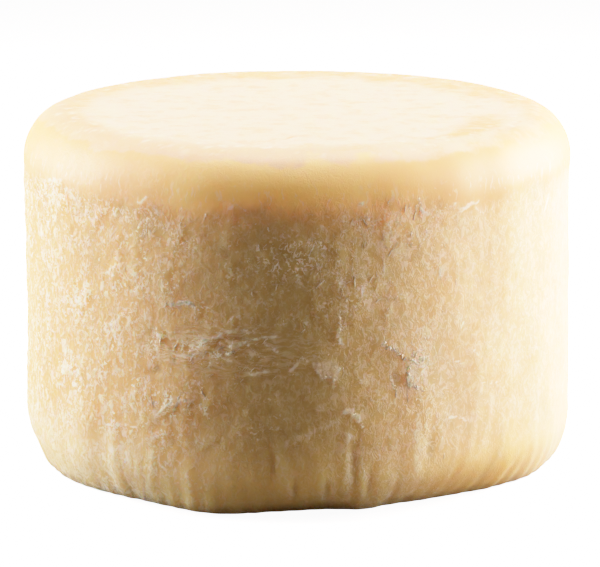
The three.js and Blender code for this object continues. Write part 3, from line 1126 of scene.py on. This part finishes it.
def fray_lips(given):
    threads = given["Geometry"]
    place = threads.node("GeometryNodeInputPosition")
    scatter = (place * (1 / MM)).noise(LIPS_GRAIN, 2.0, 0.6, output=1) - 0.5
    skin = object_mesh(threads, given["Rind Piece"])
    hit = cast_from_axis(place + scatter * LIPS_SCATTER, skin, "Hit Position")
    moved = threads.node("GeometryNodeSetPosition", {}, {"Geometry": threads, "Position": hit})
    x, y, z = place.xyz()
    flank = x.calc("GREATER_THAN", x.calc("ABSOLUTE", x), x.calc("ABSOLUTE", y) * LIPS_TURN)
    on_flank = {"Geometry": moved, "Selection": flank}
    front = moved.node("GeometryNodeDeleteGeometry", {"domain": "POINT"}, on_flank)
    normal = cast_from_axis(place, skin, "Hit Normal")
    lean = chance(moved, -math.pi, math.pi, given["Seed"])
    wide = kept_value(moved, "girth") / COMMON_GIRTH
    swell = moved.join(wide**2.0, wide**2.0, wide)
    return stand_spindles(given, front, normal, lean, spindle, swell)


lips_in = geometry_tree("spindles along the tears", LIPS)
end_tree(lips_in, fray_lips(lips_in), lips_in["Finish"])
torn_lips = run_tree("torn_lips", lips_in, tear_threads.data, LIPS)
bpy.data.objects.remove(tear_threads)

# %% [markdown]
# ## The finish of the rind
# Light sinks into curd, red by more than a centimetre and blue by a few millimetres, so the thin
# edge of the shoulder glows gold. Subsurface scattering gives that. Over the gold lies dry, matted
# curd: a bent, fractal noise makes its fuzz, upright on the flanks and level along the strands. Thin
# threads, which are noise folded at its middle and broken by another, make the white curls between
# the real fibres. The top has its own crust with flecks, stains and chips. An image could hold all
# this, but a formula needs no file. The bare factors in the sums are shares of a mask.

# %% Name the colours and grains of the rind
GOLD = (0.80, 0.42, 0.125, 1)
AMBER = (0.63, 0.37, 0.12, 1)
FRONT_SHADE_OLIVE = (0.515, 0.32, 0.088, 1)
FOOT_GOLD = (0.79, 0.495, 0.16, 1)
PEACH = (0.96, 0.66, 0.46, 1)
HOLLOW_PAINTED_SHADE = (0.50, 0.29, 0.085, 1)
# painted shade under the rounded bottom edge
BASE_PAINTED_SHADE = (0.52, 0.28, 0.07, 1)
WAX = (1.0, 0.67, 0.22, 1)
HIGH_WAX = (1.0, 0.62, 0.25, 1)
FLANK_WAX = (0.87, 0.48, 0.19, 1)
IVORY = (0.97, 0.77, 0.54, 1)
CHALK = (0.98, 0.84, 0.65, 1)
BLOOM = (0.92, 0.67, 0.46, 1)
LIP_CREAM = (0.84, 0.50, 0.28, 1)
RIM_AMBER = (0.90, 0.47, 0.20, 1)
CURD_GRAIN = (1.15, 1.15, 2.0)
STRAND_GRAIN = (4.6, 4.6, 0.8)
THREAD_GRAIN = (1.7, 1.7, 1.8)
BREAK_GRAIN = 1.2
TICK_GRAIN = (1.1, 1.1, 7.0)
TICK_HEIGHT = (85.5, 4.0)
FLECK_GRAIN = 6.5
CURD_SWIRL = (3.2, 1.3)
THREAD_SWIRL = (2.4, 1.6)
FUZZ_EDGE = (0.43, 0.62)
STRAND_EDGE = (0.25, 0.7)
THREAD_EDGE = (0.8, 0.95)
BREAK_EDGE = (0.48, 0.6)
TORN_EDGE = (0.4, 0.85)
TICK_EDGE = (0.52, 0.68)
FLECK_EDGE = (0.4, 0.68)
HOLLOW_SHADE_EDGE = (0.2, 1.0)
BASE_SHADE_EDGE = (0.8, 4.0)
WAX_RISE = (86.0, 93.0)
CRUST_START = (97.9, 99.2)
CRUST_SAG = 9.0
BUMP = {"Strength": 0.7, "Distance": 0.35 * MM}
RIND_DEPTH = {
    "Subsurface Weight": 0.8,
    "Subsurface Radius": (1.0, 0.55, 0.2),
    "Subsurface Scale": 16 * MM,
}


def blend(mask, below, above):
    return mask.node("ShaderNodeMix", {"data_type": "RGBA"}, {"Factor": mask, "A": below, "B": above})


def most(first, *others):
    for other in others:
        first = first.calc("MAXIMUM", first, other)
    return first


def rind_masks(start):
    return {
        name: start.node("ShaderNodeAttribute", {"attribute_name": name}, outputs="Fac")
        for name in FINISH_MASKS + LINE_MASKS
    }


print("colours and grains are named")

# %% Mat and whiten the dry curd
def matted_fuzz(bent, mask, still):
    upright = bent.noise(CURD_GRAIN, 4.0, 0.72, 0.9)
    level = bent.noise(STRAND_GRAIN, 4.0, 0.74) + 0.04
    grain = upright + (level - upright) * mask["strands"].smooth(*STRAND_EDGE)
    fuzz = grain.smooth(*FUZZ_EDGE)
    return fuzz + (0.33 - fuzz * 0.76) * still


def dry_white(bent, height, mask, fuzz):
    """How far the rind is whitened by matted curd, torn lips, plates and ticks of the shoulder, and by
    painted light on the flanks, the foot and just right of the front.
    """
    drifts = mask["drifts"] * (0.72 - mask["calm"] * 0.45) + mask["calm"] * 0.42
    # painted light in part: the veil is whiter away from the shaded front and in a bell just right of it
    veil_and_painted_light = mask["dry"] * (drifts + 0.1) + mask["strands"] * 0.12 + mask["mid"] * 0.16 + 0.3
    matted = fuzz * veil_and_painted_light * (1.0 - mask["foot"] * (mask["calm"] * 0.55 + 0.2))
    # partly the pale veil of the pressed foot and partly painted light: the foot is whitened away from the
    # front, least on the right, in place of light from low at the side
    pressed_and_painted_light = mask["foot"] * (1.0 - mask["foot"] * 0.6) * mask["dry"]
    matted = matted + pressed_and_painted_light * (0.66 - mask["calm"] * 0.58)
    matted = matted + mask["folded"] * (0.24 - mask["dry"] * 0.14)
    lips = mask["torn"] * (fuzz * 0.6 + 0.4) + mask["plates"] * (fuzz * 0.3 + 0.36)
    ticks = bent.noise(TICK_GRAIN, 2.0, 0.6).smooth(*TICK_EDGE) * height.bell(*TICK_HEIGHT) * 0.55
    return most(matted * (mask["rough"] * 0.8 + 0.2), lips, ticks).smooth(0.0, 1.0)


def chalk_threads(point, mask, still):
    """The white curls of the dry patches and along the tears."""
    gathered = mask["clumps"] * (mask["dry"] * 0.9 + 0.35) + 0.14
    gathered = gathered + mask["patches"] * (mask["dry"] * 0.6 + 0.6)
    gathered = gathered * mask["rough"] * (1.0 - most(still * 0.8, mask["foot"] * 0.7))
    threads = point.swirl(*THREAD_SWIRL).ridges(THREAD_GRAIN, 1.0, 0.5, 0.8).smooth(*THREAD_EDGE)
    crumbs = point.noise(BREAK_GRAIN, 2.0, 0.6)
    broken = (crumbs + mask["patches"] * 0.05).smooth(*BREAK_EDGE)
    edges = (mask["torn"] + crumbs - 0.5).smooth(*TORN_EDGE) * 0.9
    return most(threads * broken * gathered, edges).smooth(0.0, 1.0)


print("white comes from fuzz, lips, ticks and threads")

# %% Colour the side and the top
def side_colour(height, mask):
    body = blend(mask["stain"] * (1.0 - mask["dry"] * 0.5), GOLD, AMBER)
    # painted shade: the front below the shoulder, away from the soft boxes, turns a darker olive
    body = blend(mask["damp"], body, FRONT_SHADE_OLIVE)
    body = blend(mask["foot"] * (1.0 - mask["calm"] * 0.8), body, FOOT_GOLD)
    # painted shade: the hollows, and the lines beside the pleats of the foot, turn dark brown as if in
    # shadow
    body = blend(mask["hollows"].smooth(*HOLLOW_SHADE_EDGE) * 0.7, body, HOLLOW_PAINTED_SHADE)
    # painted shade: the lowest few millimetres turn dark amber, as the shadow under the rounded bottom
    # edge
    body = blend((1.0 - height.smooth(*BASE_SHADE_EDGE)) * 0.8, body, BASE_PAINTED_SHADE)
    return blend(mask["far"] * (mask["foot"] * 0.3 + 0.3), body, PEACH)


def top_colour(point, height, mask):
    flecks = point.noise(FLECK_GRAIN, 5.0, 0.74).smooth(*FLECK_EDGE)
    # darker amber on the rim, along the creases of the top and on the listed stains
    rim_stains_and_creases = most(mask["rim"], mask["creased"], mask["amber"]) * (flecks * 0.6 + 0.55)
    crust = blend(most(rim_stains_and_creases, flecks * 0.62).smooth(0.0, 1.0), BLOOM, RIM_AMBER)
    crust = blend(mask["lip"] * (0.85 - mask["calm"] * 0.5), crust, LIP_CREAM)
    crust = blend(mask["chips"] * 0.6, crust, CHALK)
    waxy = blend(height.smooth(*WAX_RISE), WAX, HIGH_WAX)
    waxy = blend(mask["dry"], waxy, FLANK_WAX)
    return blend((height + mask["sag"] * CRUST_SAG).smooth(*CRUST_START), waxy, crust)


def finish_rind(material):
    material.use_nodes = True
    material.node_tree.nodes.clear()
    start = Wire(material.node_tree)
    point = start.node("ShaderNodeTexCoord", outputs="Object") * (1 / MM)
    height = point.xyz()[2]
    mask = rind_masks(start)
    bent = point.swirl(*CURD_SWIRL)
    still = most(mask["calm"], mask["mid"] * 0.75)
    fuzz = matted_fuzz(bent, mask, still)
    under = blend(mask["rough"], top_colour(point, height, mask), side_colour(height, mask))
    curd = blend(dry_white(bent, height, mask, fuzz), under, IVORY)
    nap = fuzz * (mask["rough"] * 0.85 + 0.15) * (1.0 - still * 0.6)
    looks = {
        "Base Color": blend(chalk_threads(point, mask, still), curd, CHALK),
        "Roughness": mask["rough"] * 0.15 + 0.45,
        "Normal": start.node("ShaderNodeBump", {}, {"Height": nap, **BUMP}),
    }
    walk = {"subsurface_method": "RANDOM_WALK"}
    shader = start.node("ShaderNodeBsdfPrincipled", walk, {**looks, **RIND_DEPTH})
    start.node("ShaderNodeOutputMaterial", {}, {"Surface": shader})
    print(f"{material.name}: {len(material.node_tree.nodes)} nodes")


finish_rind(RIND["Rind"])

# %% [markdown]
# ## The finish of dry curd
# Fibres, curls and lips have dried out, so they are paler than the rind and let less light in.

# %% Colour the dry curd
DRY_LOOKS = {
    "Base Color": (0.95, 0.78, 0.54, 1),
    "Roughness": 0.6,
    "Subsurface Weight": 0.6,
    "Subsurface Radius": (1.0, 0.6, 0.3),
    "Subsurface Scale": 3 * MM,
}


def finish_dry_curd(material):
    material.use_nodes = True
    material.node_tree.nodes.clear()
    start = Wire(material.node_tree)
    shader = start.node("ShaderNodeBsdfPrincipled", {}, DRY_LOOKS)
    start.node("ShaderNodeOutputMaterial", {}, {"Surface": shader})
    print(f"{material.name}: {len(material.node_tree.nodes)} nodes")


finish_dry_curd(DRY_CURD)

# %% [markdown]
# ## Hand over
# The pieces ride on the part's one body, and the solid they dress is hidden.

# %% Ride and replace
for piece in (rind, curd_fibres, chalk_curls, torn_lips):
    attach(piece, "root")
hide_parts("cheese_wheel")
